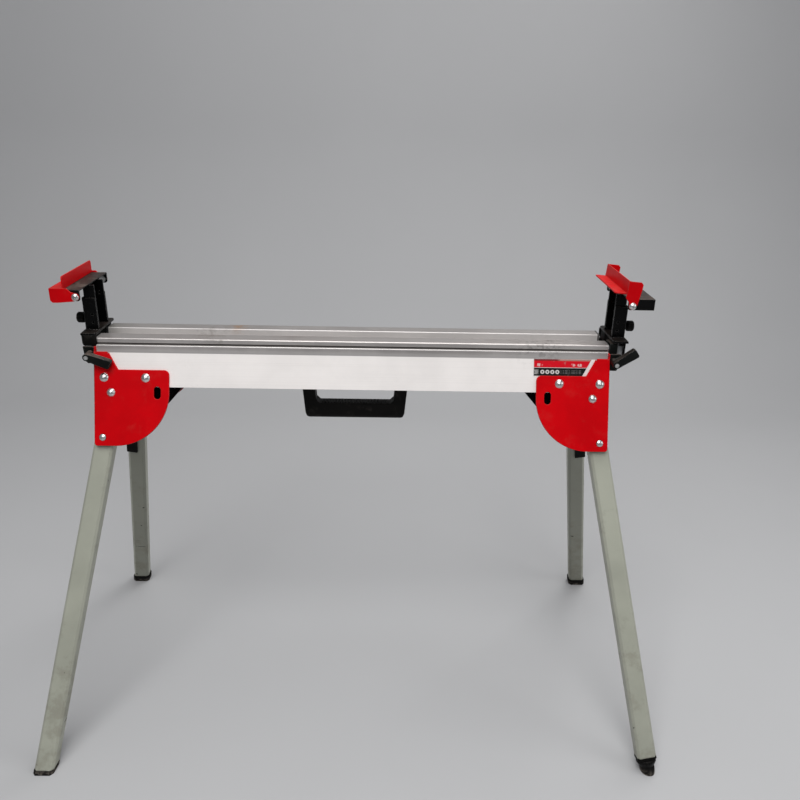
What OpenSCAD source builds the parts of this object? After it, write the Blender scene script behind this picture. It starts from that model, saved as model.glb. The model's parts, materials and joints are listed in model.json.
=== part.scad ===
// Folding miter saw stand with two pull-out work supports.
// X runs along the beam, -Y is the side with the decal band, Z is up, millimetres.
// The origin is on the floor under the middle of the beam.

/* [Beam] */
// Length of the aluminium beam
beam_len = 984; // [900:4:1100]
// Height of the rail tops above the floor
rail_top = 813; // [780:1:850]
// Width of each top rail
rail_w = 31; // [30:0.5:36]
// Gap between the two rails
rail_gap = 38; // [34:1:50]
// Wall of the hollow rails
rail_wall = 2.6; // [2:0.1:3]
// Visible height of the rail's outer lip
lip_h = 9.5; // [8:0.5:12]
// Height of the clamp groove under the lip
groove_h = 3.3; // [2.5:0.1:4]
// Depth of the clamp groove
groove_d = 3; // [2:0.1:3.5]
// Distance from the rail top down to the crease where the side skirts start to lean
crease_drop = 27.5; // [27.5:0.5:34]
// Distance of the crease outside the rail's outer face
crease_out = 3.4; // [2:0.1:5]
// Lean of the skirts, plates and legs away from vertical, in degrees
lean = 20; // [16:0.5:23]
// Height of each skirt along its slope
skirt_h = 66; // [58:1:68]
// Thickness of the skirts
skirt_t = 3; // [2.5:0.1:3.5]
// Thickness of the web that joins the rails
web_t = 3; // [2.5:0.1:4]

/* [Leg brackets] */
// Width of each red side plate along the beam
plate_w = 142; // [138:1:150]
// Height of each side plate along its slope
plate_h = 180; // [176:1:190]
// Thickness of the side plates
plate_t = 4; // [3:0.5:5]
// Thickness of the tab that the plate folds round the beam's end
tab_t = 3.5; // [3:0.5:5]
// Distance of the leg pivot from the plate's outer edge
pivot_in = 31.5; // [30:0.5:34]
// Distance of the leg pivot below the crease, along the slope
pivot_down = 77; // [75:1:80]
// Radius of the pivot bolts
pivot_r = 5; // [4:0.5:6]
// Thickness of the black inner bracket
cheek_t = 3; // [2.5:0.5:4]
// Length of the inner bracket along the beam
cheek_len = 161; // [155:1:165]
// Radius of the rivets' heads
rivet_head_r = 8.7; // [7:0.1:9]

/* [Legs] */
// Width of the leg tube across the plate
leg_w = 38; // [34:1:40]
// Depth of the leg tube
leg_d = 30; // [28:1:32]
// Size of the tube's corner chamfers
leg_chamfer = 5; // [4:0.5:8]
// Wall of the leg tube
leg_wall = 2; // [1.5:0.1:2.5]
// Outward splay of the legs in the plane of the plates, in degrees
leg_splay = 10.4; // [8:0.2:12]
// Space between the side plate and the leg
leg_gap = 6; // [6:0.5:8]
// Distance of the lock button above the plate's bottom edge
lock_up = 15; // [13:1:18]
// Radius of the lock button
lock_r = 6.2; // [5:0.1:6.4]
// Height of the rubber feet
foot_h = 8; // [6:0.5:12]
// Radius of the levelling foot's ribbed collar
level_r = 19.5; // [17:0.5:21]
// Length of the ribbed collar
level_h = 14; // [12:1:16]

/* [Carrying handle] */
// Width of the handle at the bottom
handle_w = 200; // [180:2:230]
// Depth of the handle below the web
handle_drop = 151; // [145:1:160]
// Height of the grip bar
grip_h = 34; // [28:1:36]
// Thickness of the handle across the beam
handle_t = 26; // [22:1:28]

/* [Pull-out arms] */
// Length of each arm's bar
arm_len = 900; // [880:5:920]
// Clearance between the bar and its chamber, all round
arm_clear = 0.3; // [0.2:0.05:0.5]
// Wall of the arm's bar
arm_wall = 2.2; // [1.8:0.1:3]
// How far the right arm stands out at rest
right_out = 10; // [0:1:20]
// Thickness of the clamp housing at each end of the beam
clamp_t = 15; // [15:0.5:18]
// Radius of the clamp's eccentric shaft
shaft_r = 4; // [3.5:0.1:4.5]
// Angle of the closed clamp lever below horizontal
lever_rest = 20; // [10:1:24]
// Swing of the clamp lever
lever_swing = 165; // [140:5:170]
// Length of the clamp lever
lever_len = 45; // [38:1:48]

/* [Work supports] */
// Height of the support table above the rail tops
table_up = 98; // [96:1:110]
// Width of the support table
table_w = 50; // [46:1:56]
// Length of the support table across the beam
table_len = 146; // [130:2:160]
// Height of the table's folded flanges
table_flange = 21; // [19:1:24]
// Sheet thickness of the table and the flip stop
sheet_t = 2.5; // [2:0.1:3]
// Outer width of the upright channel, across the beam
post_w = 56; // [50:1:60]
// Depth of the upright channel, along the beam
post_d = 26; // [23:0.5:27]
// Wall of the upright and the mast
post_t = 3; // [2.5:0.1:3.5]
// Travel of the mast
mast_travel = 35; // [25:1:36]
// Reach of the flip stop from its pivot
stop_reach = 46; // [44:1:52]
// Height of the stop's fence above the table
stop_h = 24; // [18:1:30]
// Rest angle of the right stop, turned inward from its use position
right_stop = 85; // [80:1:110]

/* [Hidden] */
$fn = 48;

// Clearances
fit = 0.05;
gap = 0.3;
big = 3000;

// Beam section
beam_end = beam_len / 2;
rail_out = rail_gap / 2 + rail_w;
crease_y = rail_out + crease_out;
crease_z = rail_top - crease_drop;
web_z = crease_z + 0.5;
floor_z = web_z + web_t;
ceil_z = rail_top - rail_wall;
chamber_w = rail_w - 2 * rail_wall - groove_d;
chamber_y = rail_gap / 2 + rail_wall + chamber_w / 2;
lip_z = rail_top - lip_h;
shoulder_z = lip_z - groove_h;

// Leg bracket, in the plane of the plates
plate_end = beam_end + tab_t;
pivot_x = plate_end - pivot_in;
corner_r = 10;
sweep_r = plate_h - pivot_down;
slot_half = lock_r + 5.9;
button_hole_r = lock_r + gap;
cheek_w0 = leg_gap + leg_d + 1.2;
washer_r = pivot_down - skirt_h - 0.5;
lock_arm = plate_h - pivot_down - lock_up;
cheek_drop = plate_h - 30;
rivet_r = 4;
rivet_down = 48.5;
rivet_in = [18, 97];

// Places of the screws through the web: handle feet and inner brackets
handle_screw_x = handle_w / 2 + 2;
bracket_screw_x = [plate_end - 45, plate_end - cheek_len + 31];
screw_x = [-handle_screw_x, handle_screw_x, -bracket_screw_x[0], -bracket_screw_x[1],
    bracket_screw_x[0], bracket_screw_x[1]];

// Leg, measured from the pivot
leg_mid = leg_gap + leg_d / 2;
floor_reach = (crease_z - leg_mid * sin(lean)) / cos(lean) - pivot_down;
leg_len = floor_reach / cos(leg_splay);
level_lip = 5;
pad_h = 14.5;
level_top = leg_len - level_lip - gap - level_h - pad_h;
stud_r = 5;
stud_in = 24;
past = 40;
foot_in = 60;

// Arms and clamps
bar_w = chamber_w - 2 * arm_clear;
bar_h = ceil_z - floor_z - 2 * arm_clear;
bar_z = (ceil_z + floor_z) / 2;
clamp_x = plate_end + clamp_t / 2;
pad_t = 2;
shaft_z = floor_z - pad_t - shaft_r - fit;
cam_r = shaft_r - 1;
cam_off = 0.9;
ear_y = crease_y + 2.6;
ear_t = 5.5;
lever_t = 13;
hub_r = clamp_t / 2 - 0.5;
grip_half = 9;
lever_low = shaft_z - lever_len * sin(lever_rest) - grip_half * cos(lever_rest);
lever_y = crease_y + plate_t / cos(lean) + (crease_z - lever_low) * tan(lean) + 1.5;
flange_x = plate_end + clamp_t + 1;
base_up = 5.3;
base_z = rail_top + base_up;
base_t = 4;
base_y = rail_out + 4;
base_x0 = beam_end - 2;
post_x1 = base_x0 + 28;
post_x0 = post_x1 - post_d;
base_x1 = post_x1 + 0.5;
block_drop = 21;
bend_r = 4;

// Supports
table_z = rail_top + table_up;
table_x0 = post_x0 + 9;
stop_x = table_x0 + 8;
stop_down = 13;
stop_z = table_z - stop_down;
post_h = 62;
post_top = base_z + base_t + post_h;
mast_z0 = base_z + base_t + 4;
knob_z = mast_z0 + 12;
stop_in = 20.5;

// Places a child drawn for the front left corner at any of the four corners
module corner(sx, sy) {
    if (sx < 0 && sy < 0) children();
    else if (sx > 0 && sy < 0) mirror([1, 0, 0]) children();
    else if (sx < 0) mirror([0, 1, 0]) children();
    else mirror([1, 0, 0]) mirror([0, 1, 0]) children();
}

// Plane of the front skirt: x along the beam, y up the slope, z outward
module in_plane() {
    translate([0, -crease_y, crease_z]) rotate([90 - lean, 0, 0]) children();
}

// Frame of the front left leg: origin on the pivot, -y down the leg, z outward
module in_leg() {
    in_plane() translate([-pivot_x, -pivot_down, 0]) rotate([0, 0, -leg_splay]) children();
}

// A disc or bore along the plane's normal, from depth w0 to w1 below the skirt's face
module normal_rod(r, w0, w1) {
    translate([0, 0, -w1]) cylinder(r = r, h = w1 - w0);
}

// Extrudes a YZ outline along X
module along_x(x0, x1) {
    translate([x0, 0, 0]) rotate([90, 0, 90]) linear_extrude(x1 - x0) children();
}

// Extrudes an XZ outline along Y
module along_y(y0, y1) {
    translate([0, y1, 0]) rotate([90, 0, 0]) linear_extrude(y1 - y0) children();
}

// Box between two corners
module span(a, b) {
    translate(a) cube([b[0] - a[0], b[1] - a[1], b[2] - a[2]]);
}

// Section of a sheet channel with rounded bends, from y = -half to half, open towards -x
module channel(x0, x1, half, t, r) {
    difference() {
        translate([x0, -half]) square([x1 - x0, 2 * half]);
        translate([x0 - 1, t - half]) square([x1 - t - x0 + 1, 2 * (half - t)]);
        translate([x1, half]) corner_cut(r, 0);
        translate([x1, -half]) corner_cut(r, 3);
    }
}

// Rounds one outer corner when it is subtracted; q turns it by quarter turns
module corner_cut(r, q) {
    rotate(90 * q) difference() {
        translate([-r, -r]) square(r + 1);
        translate([-r, -r]) circle(r = r);
    }
}

// Domed head standing on z = 0
module dome(r, h) {
    ball = (r * r + h * h) / (2 * h);
    rotate_extrude() intersection() {
        translate([0, h - ball]) circle(r = ball);
        square([r, h]);
    }
}

// Half of the beam's section, for y above 0
module half_section() {
    skirt_y = crease_y + skirt_h * sin(lean);
    skirt_z = crease_z - skirt_h * cos(lean);
    in_y = skirt_t / cos(lean);
    difference() {
        polygon([[0, web_z], [crease_y - in_y + (crease_z - web_z) * tan(lean), web_z],
            [skirt_y - skirt_t * cos(lean), skirt_z - skirt_t * sin(lean)], [skirt_y, skirt_z],
            [crease_y, crease_z], [crease_y - 0.8, shoulder_z], [rail_out - groove_d, shoulder_z],
            [rail_out - groove_d, lip_z], [rail_out, lip_z], [rail_out, rail_top],
            [rail_gap / 2, rail_top], [rail_gap / 2, floor_z], [0, floor_z]]);
        translate([rail_out, rail_top]) corner_cut(3, 0);
        translate([rail_gap / 2, rail_top]) corner_cut(2, 1);
        translate([rail_out, lip_z]) corner_cut(1, 3);
        translate([crease_y - 0.8, shoulder_z]) corner_cut(1.5, 0);
        translate([chamber_y - chamber_w / 2, floor_z]) square([chamber_w, ceil_z - floor_z]);
    }
}

module beam() {
    color("gainsboro") difference() {
        along_x(-beam_end, beam_end) {
            half_section();
            mirror([1, 0]) half_section();
        }
        for (sx = [-1, 1], sy = [-1, 1], u = rivet_in)
            corner(sx, sy) in_plane() translate([u - plate_end, -rivet_down, 0])
                normal_rod(rivet_r + fit, -1, skirt_t + 1);
        for (x = screw_x)
            translate([x, 0, web_z - 1]) cylinder(r = 3 + fit, h = web_t + 2);
    }
}

// Outline of a side plate, from its outer top corner
module plate_outline() {
    w = plate_w;
    step = 33;
    centre = w - sweep_r;
    difference() {
        union() {
            polygon([[0, 1], [26, 1], [45, -step], [w - corner_r, -step], [w, -step - corner_r],
                [w, -pivot_down], [centre, -pivot_down], [centre, -plate_h], [6, -plate_h],
                [0, 6 - plate_h]]);
            translate([w - corner_r, -step - corner_r]) circle(r = corner_r);
            translate([6, 6 - plate_h]) circle(r = 6);
            intersection() {
                translate([centre, -pivot_down]) circle(r = sweep_r);
                translate([centre, -plate_h]) square([sweep_r, plate_h - pivot_down]);
            }
        }
        translate([26, 1]) rotate(-15) corner_cut(4, 0);
    }
}

module side_plate(sx, sy) {
    color("crimson") corner(sx, sy) {
        difference() {
            in_plane() translate([-plate_end, 0, 0]) linear_extrude(plate_t) plate_outline();
            in_plane() {
                for (u = rivet_in)
                    translate([u - plate_end, -rivet_down, 0])
                        normal_rod(rivet_r + fit, -plate_t - 1, 1);
                translate([-pivot_x, -pivot_down, 0]) normal_rod(pivot_r + fit, -plate_t - 1, 1);
                translate([lock_arm - pivot_x, -pivot_down, 0]) lock_slot();
            }
            in_leg() translate([0, -lock_arm, 0]) normal_rod(button_hole_r, -plate_t - 1, 1);
        }
        end_tab();
    }
}

// Oval hole that takes the lock when the leg is folded
module lock_slot() {
    r = lock_r + 0.4;
    run = slot_half - r;
    translate([0, 0, -1]) linear_extrude(plate_t + 2) {
        translate([0, run]) circle(r = r);
        translate([0, -run]) circle(r = r);
        translate([-r, -run]) square([2 * r, 2 * run]);
    }
}

// Tab that each plate folds round the beam's end
module end_tab() {
    out = plate_t / cos(lean);
    low = 36;
    along_x(-plate_end, -beam_end) polygon([[-rail_out + 4.5, crease_z + 11.5],
        [-crease_y - out, crease_z + 11.5], [-crease_y - out, crease_z],
        [-crease_y - out - low * tan(lean), crease_z - low],
        [-crease_y, crease_z - low], [-rail_out + 4.5, crease_z - 20]]);
}

// Black pressing under the web: a top flange with two leaning cheeks
module inner_bracket(sx) {
    x0 = plate_end - 2;
    x1 = plate_end - cheek_len;
    top = cheek_w0 * tan(lean);
    flange_y = crease_y - cheek_w0 / cos(lean);
    front_down = 62;
    knee = [43, 38];
    toe = 88;
    color("dimgray") corner(sx, -1) difference() {
        union() {
            span([-x0, -flange_y, web_z - cheek_t], [-x1, flange_y, web_z]);
            for (m = [0, 1]) mirror([0, m, 0]) in_plane() {
                translate([0, 0, -cheek_w0 - cheek_t]) linear_extrude(cheek_t) difference() {
                    polygon([[-x0, top], [-x1, top], [-x1, -front_down],
                        [-x1 - knee.x, knee.y - cheek_drop], [-x1 - toe, -cheek_drop],
                        [-x0 + 6, -cheek_drop], [-x0, 6 - cheek_drop]]);
                    translate([-pivot_x, -pivot_down]) circle(r = pivot_r + fit);
                }
            }
        }
        for (x = bracket_screw_x)
            translate([-x, 0, web_z - cheek_t - 1]) cylinder(r = 3 + fit, h = cheek_t + 2);
    }
}

module plate_rivets() {
    tail = 2.3;
    color("silver") for (sx = [-1, 1], sy = [-1, 1], u = rivet_in)
        corner(sx, sy) in_plane() translate([u - plate_end, -rivet_down, 0]) {
            normal_rod(rivet_r, -plate_t, skirt_t);
            translate([0, 0, plate_t]) dome(rivet_head_r, 4.5);
            normal_rod(6.5, skirt_t, skirt_t + tail);
        }
}

module pivot_bolts() {
    end = cheek_w0 + cheek_t + 9;
    color("silver") for (sx = [-1, 1], sy = [-1, 1])
        corner(sx, sy) in_plane() translate([-pivot_x, -pivot_down, 0]) {
            normal_rod(pivot_r, -plate_t, end);
            translate([0, 0, plate_t]) dome(8.4, 5);
        }
}

// Nuts inside the cheeks, with the washers on both sides of each leg
module pivot_nuts() {
    back = cheek_w0 + cheek_t;
    color("gray") for (sx = [-1, 1], sy = [-1, 1])
        corner(sx, sy) in_plane() translate([-pivot_x, -pivot_down, 0]) difference() {
            union() {
                translate([0, 0, -back - 7]) cylinder(r = 9, h = 7, $fn = 6);
                normal_rod(washer_r, 0, leg_gap - 0.1);
                normal_rod(washer_r, leg_gap + leg_d + 0.1, cheek_w0);
            }
            normal_rod(pivot_r + fit, -1, back + 8);
        }
}

// Screws through the web and through the clamp housings
module body_screws() {
    color("dimgray") {
        for (x = [-handle_screw_x, handle_screw_x]) translate([x, 0, web_z - 12]) {
            cylinder(r = 3, h = 12 + web_t);
            translate([0, 0, 12 + web_t]) dome(5.5, 3);
        }
        for (x = bracket_screw_x, sx = [-1, 1]) translate([sx * x, 0, 0]) {
            translate([0, 0, web_z - cheek_t]) cylinder(r = 3, h = cheek_t + web_t);
            translate([0, 0, floor_z]) dome(5.5, 3);
            translate([0, 0, web_z - cheek_t - 4]) cylinder(r = 5.5, h = 4, $fn = 6);
        }
    }
}

// Handle outline in XZ, measured down from the web
module handle_outline() {
    half = handle_w / 2;
    flare = 0.095 * (handle_drop - 10);
    bar = handle_drop - grip_h;
    post = 23;
    r = 11;
    inner = half - post + 1;
    difference() {
        union() {
            polygon([[-half - flare, 0], [-half - 1, r - handle_drop], [r - half, -handle_drop],
                [half - r, -handle_drop], [half + 1, r - handle_drop], [half + flare, 0]]);
            for (s = [-1, 1]) translate([s * (half - r), r - handle_drop]) circle(r = r);
        }
        difference() {
            polygon([[-inner - 11, 1], [-inner, -bar], [inner, -bar], [inner + 11, 1]]);
            for (s = [-1, 1]) translate([s * inner, -bar]) rotate(45) square(9, center = true);
        }
    }
}

module carry_handle() {
    half = handle_t / 2;
    bar = handle_drop - grip_h;
    r = 9;
    color("black") translate([0, 0, web_z]) difference() {
        union() {
            intersection() {
                along_y(-half, half) handle_outline();
                along_x(-handle_w, handle_w) difference() {
                    translate([-half, -handle_drop]) square([handle_t, handle_drop]);
                    translate([half, -handle_drop]) corner_cut(r, 3);
                    translate([-half, -handle_drop]) corner_cut(r, 2);
                }
            }
            for (i = [-11:11]) translate([6 * i, half - 3, -bar - 0.6]) rotate([90, 0, 0])
                cylinder(r = 2, h = handle_t - 6, $fn = 16);
        }
        for (s = [-1, 1]) translate([s * handle_screw_x, 0, -20]) cylinder(r = 3 + fit, h = 21);
    }
}

// Housing on the beam's right end; bar_side is -1 where the bar leaves the front rail
module clamp_housing(bar_side) {
    x0 = plate_end;
    x1 = plate_end + clamp_t;
    low = shaft_z - 11;
    top = shaft_z + 6.5;
    half = rail_w / 2;
    roof = rail_top + 3;
    difference() {
        union() {
            along_x(x0, x1) difference() {
                union() {
                    translate([-ear_y, low]) square([2 * ear_y, top - low]);
                    translate([bar_side * chamber_y - half, low]) square([2 * half, roof - low]);
                }
                for (s = [-1, 1]) translate([bar_side * chamber_y + s * half, roof])
                    corner_cut(3, s > 0 ? 0 : 1);
            }
            for (m = [0, 1]) mirror([0, m, 0]) along_y(ear_y - ear_t, ear_y)
                clamp_ear(x0, low - 4);
        }
        span([x0 - 1, bar_side * chamber_y - chamber_w / 2, floor_z],
            [x1 + 1, bar_side * chamber_y + chamber_w / 2, ceil_z]);
        translate([clamp_x, ear_y + 1, shaft_z]) rotate([90, 0, 0])
            cylinder(r = shaft_r + fit, h = 2 * ear_y + 2);
        span([clamp_x - 5.2, bar_side * chamber_y - 8.2, shaft_z],
            [clamp_x + 5.2, bar_side * chamber_y + 8.2, floor_z + 1]);
    }
}

// Outline of the ear that carries the shaft at each side, flared over the arm's foot
module clamp_ear(x0, low) {
    top = crease_z + 11;
    polygon([[x0, top], [x0 + 21.5, top], [x0 + 19.5, low + 3], [x0 + 16, low - 5],
        [x0 + 2, low - 5], [x0, low - 3]]);
}

// Strips between the eccentrics and the bars
module clamp_pads() {
    color("gray") for (sx = [-1, 1]) {
        y = -sx * chamber_y;
        span([sx * clamp_x - 5, y - 8, floor_z - pad_t], [sx * clamp_x + 5, y + 8, floor_z]);
    }
}

// Flattened octagon of the leg tube, drawn about its own axis
module leg_profile(inset) {
    a = leg_w / 2 - inset;
    b = leg_d / 2 - inset;
    c = leg_chamfer - inset * 0.586;
    polygon([[-a, -b + c], [-a + c, -b], [a - c, -b], [a, -b + c], [a, b - c], [a - c, b],
        [-a + c, b], [-a, b - c]]);
}

// Leg section run from t0 to t1 below the pivot
module leg_run(t0, t1, inset) {
    translate([0, -t0, -leg_mid]) rotate([90, 0, 0]) linear_extrude(t1 - t0)
        leg_profile(inset);
}

// Keeps what lies above a height over the floor
module above(z) {
    intersection() {
        children();
        span([-big, -big, z], [big, big, big]);
    }
}

// The front right leg ends short, to take the levelling foot
module leg(sx, sy) {
    level = sx > 0 && sy < 0;
    r = leg_w / 2;
    color("darkseagreen") corner(sx, sy) above(foot_h) in_leg() difference() {
        intersection() {
            leg_run(-r, level ? level_top : leg_len + past, 0);
            translate([0, 0, -leg_gap - leg_d - 1]) linear_extrude(leg_d + 2) {
                circle(r = r);
                translate([-r, -leg_len - past]) square([2 * r, leg_len + past]);
            }
        }
        leg_run(-r - 1, leg_len + past + 1, leg_wall);
        normal_rod(pivot_r + fit, 0, leg_gap + leg_d + 1);
        translate([0, -lock_arm, 0]) normal_rod(lock_r, 0, leg_gap + leg_wall + 1);
    }
}

// Foot, as a boot round the tube at the back, and the bumper on the leg's inner face
module rubbers(sx, sy) {
    level = sx > 0 && sy < 0;
    boot = sy > 0;
    over = boot ? 2.2 : 1;
    plug = 22;
    color("black") corner(sx, sy) {
        if (!level) {
            difference() {
                intersection() {
                    in_leg() leg_run(leg_len - foot_in, leg_len + past, -over);
                    span([-big, -big, 0], [big, big, foot_h + (boot ? 12 : 0)]);
                }
                if (boot) above(foot_h) in_leg() leg_run(0, leg_len + past, -fit);
            }
            intersection() {
                in_leg() leg_run(leg_len - foot_in, leg_len + past, leg_wall + 0.2);
                span([-big, -big, foot_h], [big, big, foot_h + plug]);
            }
        }
        in_leg() bumper();
    }
}

module bumper() {
    t0 = 185;
    t1 = 233;
    w = leg_gap + leg_d;
    translate([-leg_w / 2, -t1, -w - 6]) difference() {
        cube([leg_w / 2 + 4, t1 - t0, 6]);
        translate([-1, 0, 0]) rotate([0, 90, 0]) linear_extrude(leg_w) corner_cut(4, 2);
        translate([-1, t1 - t0, 0]) rotate([0, 90, 0]) linear_extrude(leg_w) corner_cut(4, 1);
    }
}

// Sprung nose inside the leg; it stops just under the plate
nose_w = 1.3;
nose_back = leg_gap + leg_wall + 2.2;
module lock_plunger(sx, sy) {
    color("silver") corner(sx, sy) in_leg() translate([0, -lock_arm, 0]) {
        normal_rod(lock_r - gap, nose_w, leg_gap + leg_wall + gap);
        normal_rod(lock_r + 2.5, leg_gap + leg_wall + gap, nose_back);
    }
}

// Folded leaf that pushes the plunger out, drawn in the leg's own section
module lock_spring(sx, sy) {
    t = 0.8;
    far = leg_gap + leg_d - leg_wall;
    near = nose_back + 0.1;
    run = 48;
    color("steelblue") corner(sx, sy) in_leg() translate([-6, -lock_arm, 0])
        rotate([0, 90, 0]) linear_extrude(12) {
            polygon([[near + 2.5, 10], [near, 7], [near, -7], [far - 1, -run], [far, -run],
                [far, 4], [far - t, 4], [far - t, 1.7 - run], [near + t, -6.6],
                [near + t, 6.6], [near + 3.2, 9.4]]);
        }
}

// Chrome button in the plate, with a thin collar behind it
module release_button(sx, sy) {
    color("silver") corner(sx, sy) in_leg() translate([0, -lock_arm, 0]) {
        normal_rod(lock_r, -plate_t - 0.7, gap);
        translate([0, 0, plate_t + 0.7]) dome(lock_r, 2.2);
        normal_rod(lock_r + 1.3, gap, nose_w - gap);
    }
}

// Levelling foot of the front right leg, along the leg's axis
module level_axis() {
    corner(1, -1) in_leg() translate([0, -level_top, -leg_mid]) rotate([90, 0, 0]) children();
}

module level_plug() {
    plug = stud_in + 2;
    color("black") level_axis() difference() {
        union() {
            translate([0, 0, -plug]) linear_extrude(plug) leg_profile(leg_wall + 0.2);
            linear_extrude(level_lip) leg_profile(-0.5);
        }
        translate([0, 0, -plug - 1]) cylinder(r = stud_r + fit, h = plug + level_lip + 2);
    }
}

module level_collar() {
    ribs = 20;
    color("black") level_axis() {
        translate([0, 0, -stud_in]) cylinder(r = stud_r, h = stud_in + level_lip + gap + 4);
        translate([0, 0, level_lip + gap]) difference() {
            rotate_extrude() polygon([[0, 0], [level_r - 2, 0], [level_r, 2],
                [level_r, level_h - 9], [level_r - 5, level_h], [0, level_h]]);
            for (i = [0:ribs - 1]) rotate(360 / ribs * i) translate([level_r + 0.6, 0, -1])
                cylinder(r = 1.8, h = level_h + 2, $fn = 16);
            translate([0, 0, level_h - 6]) cylinder(r = 9 + fit, h = 7);
        }
    }
}

// Swivelling rubber pad, cut level by the floor
module level_pad() {
    start = level_lip + gap + level_h;
    color("dimgray") above(0) level_axis() {
        translate([0, 0, start - 6 + gap]) cylinder(r = 9, h = 6);
        translate([0, 0, start + gap]) rotate_extrude()
            polygon([[0, 0], [13, 0], [14.5, 1.5], [14.5, 8], [11, 30], [0, 30]]);
    }
}

// Lever outline from the shaft, pointing along +x and wider at its grip
module lever_outline() {
    r = 4;
    circle(r = hub_r);
    polygon([[0, hub_r], [lever_len - r, grip_half], [lever_len, grip_half - r],
        [lever_len, r - grip_half], [lever_len - r, -grip_half], [0, -hub_r]]);
    for (s = [-1, 1]) translate([lever_len - r, s * (grip_half - r)]) circle(r = r);
}

// The lever of one end at rest; turn 0 is closed
module clamp_lever(sx, turn) {
    color("darkslategray") corner(-sx, -1) translate([clamp_x, 0, shaft_z])
        rotate([0, turn - lever_rest, 0]) mirror([1, 0, 0]) difference() {
            union() {
                along_y(-lever_y - lever_t, -lever_y) lever_outline();
                along_y(-lever_y, -ear_y - gap) circle(r = hub_r);
            }
            along_y(-lever_y - lever_t - 1, -ear_y) circle(r = shaft_r + fit);
        }
}

// Shaft across the beam's end; the cam lies under the bar
module clamp_shaft(sx, turn) {
    y = -sx * chamber_y;
    color("silver") translate([sx * clamp_x, 0, shaft_z]) rotate([0, sx * turn, 0]) {
        along_y(-lever_y - lever_t - 1, y - 8) circle(r = shaft_r);
        along_y(y - 8, y + 8) translate([0, cam_off]) circle(r = cam_r);
        along_y(y + 8, ear_y + 1) circle(r = shaft_r);
        along_y(ear_y + gap, ear_y + 3) circle(r = shaft_r + 2);
    }
}

// Everything on an arm is drawn for the right end with its bar in the front rail
module on_arm(sx) {
    if (sx > 0) translate([right_out, 0, 0]) children();
    else rotate([0, 0, 180]) children();
}

module arm_bar(sx) {
    end = flange_x;
    color("lightgray") on_arm(sx) difference() {
        along_x(end - arm_len, end) translate([-chamber_y, bar_z]) difference() {
            square([bar_w, bar_h], center = true);
            square([bar_w - 2 * arm_wall, bar_h - 2 * arm_wall], center = true);
        }
    }
}

// Steel foot of the support: base plate, drop flange and upright channel
module arm_bracket(sx) {
    y = -chamber_y;
    z0 = base_z + base_t;
    slot_r = 3.4;
    color("black") on_arm(sx) difference() {
        union() {
            span([base_x0, -base_y, base_z], [base_x1, base_y, z0]);
            along_x(flange_x, flange_x + 4) difference() {
                translate([y - 15.5, floor_z - 4]) square([31, z0 - floor_z + 3]);
                translate([y - 15.5, floor_z - 4]) corner_cut(5, 2);
                translate([y + 15.5, floor_z - 4]) corner_cut(5, 3);
            }
            translate([0, 0, z0 - 1]) linear_extrude(post_top - z0 + 1)
                channel(post_x0, post_x1, post_w / 2, post_t, bend_r);
        }
        along_x(post_x1 - post_t - 1, post_x1 + 1) {
            for (z = [knob_z, knob_z + mast_travel]) translate([0, z]) circle(r = slot_r);
            translate([-slot_r, knob_z]) square([2 * slot_r, mast_travel]);
        }
        for (z = [z0 + 14, z0 + 30]) along_y(-post_w, post_w)
            translate([post_x0 + 9, z]) circle(r = 2.6);
        along_x(flange_x - 1, flange_x + 5) for (s = [-1, 1])
            translate([y, bar_z + 5 * s]) circle(r = 2.6);
        for (m = [0, 1]) mirror([0, m, 0]) translate([base_x0, base_y, 0])
            linear_extrude(big) corner_cut(6, 1);
    }
}

// Moulded block that closes the free rail's end
module arm_block(sx) {
    y0 = chamber_y - 14;
    z0 = base_z - block_drop;
    lip = 2.3;
    color("black") on_arm(sx) difference() {
        union() {
            span([beam_end + 0.5, y0, z0], [base_x1, base_y, base_z]);
            span([beam_end - lip, rail_out + gap, shoulder_z + 0.5],
                [beam_end + 0.6, base_y, base_z]);
        }
        translate([base_x1, base_y, 0]) linear_extrude(big) corner_cut(5, 0);
        translate([base_x1, 0, z0]) along_y(-big, big) corner_cut(7, 3);
    }
}

module mast(sx) {
    x1 = post_x1 - post_t - gap;
    y1 = post_w / 2 - post_t - gap;
    top = table_z - sheet_t;
    color("black") on_arm(sx) difference() {
        translate([0, 0, mast_z0]) linear_extrude(top - mast_z0)
            channel(post_x0, x1, y1, post_t, bend_r);
        along_x(x1 - post_t - 1, x1 + 1) {
            translate([0, knob_z]) circle(r = 3 + fit);
            for (s = [0, 1]) translate([0, knob_z + 24 + 22 * s]) circle(r = 4);
            translate([-4, knob_z + 24]) square([8, 22]);
        }
        along_y(-post_w, post_w) translate([post_x0 + 9, mast_z0 + 56]) circle(r = 3);
    }
}

// Tray-shaped table with folded flanges
module table(sx) {
    half = table_len / 2;
    x1 = table_x0 + table_w;
    low = table_z - table_flange;
    color("dimgray") on_arm(sx) difference() {
        union() {
            span([table_x0, -half, table_z - sheet_t], [x1, half, table_z]);
            for (m = [0, 1]) mirror([0, m, 0])
                along_y(half - sheet_t, half) difference() {
                    translate([table_x0, low]) square([table_w, table_flange]);
                    translate([table_x0, low]) corner_cut(5, 2);
                }
            span([x1 - sheet_t, -half, low], [x1, half, table_z]);
        }
        along_y(-half - 1, half + 1) translate([stop_x, stop_z]) circle(r = 4 + fit);
    }
}

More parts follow.
